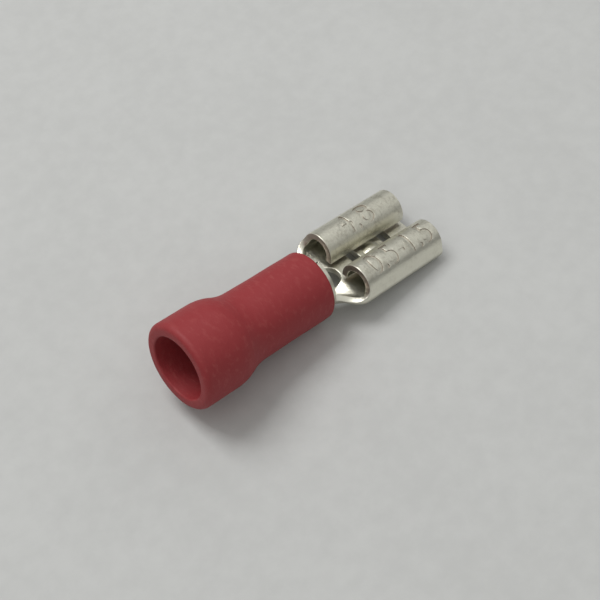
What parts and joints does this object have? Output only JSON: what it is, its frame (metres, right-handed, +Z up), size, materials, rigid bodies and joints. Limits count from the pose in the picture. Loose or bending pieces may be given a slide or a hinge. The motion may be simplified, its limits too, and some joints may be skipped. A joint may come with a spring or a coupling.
{
  "type": "female spade terminal",
  "caption": "Insulated push-on female spade terminal: a flared red sleeve over a wire barrel, and a folded, tin-plated receptacle that grips a flat tab.",
  "frame": {"origin": "on the surface that the part lies on, below the middle of its length", "axes": "+X along the length towards the end that takes the tab, +Z up from the resting surface, +Y across. The barrel's axis lies in the XZ plane and dips 9.6 degrees towards +X, as the part comes to rest on the sleeve's front rim and the receptacle's tip"},
  "size_m": [0.0184, 0.0058, 0.0063],
  "materials": {
    "tinned_metal": "satin tin plate over brass",
    "vinyl": "matte, finely wrinkled"
  },
  "bodies": {
    "root": {"terminal": "tinned_metal", "sleeve": "vinyl"}
  },
  "joints": []
}
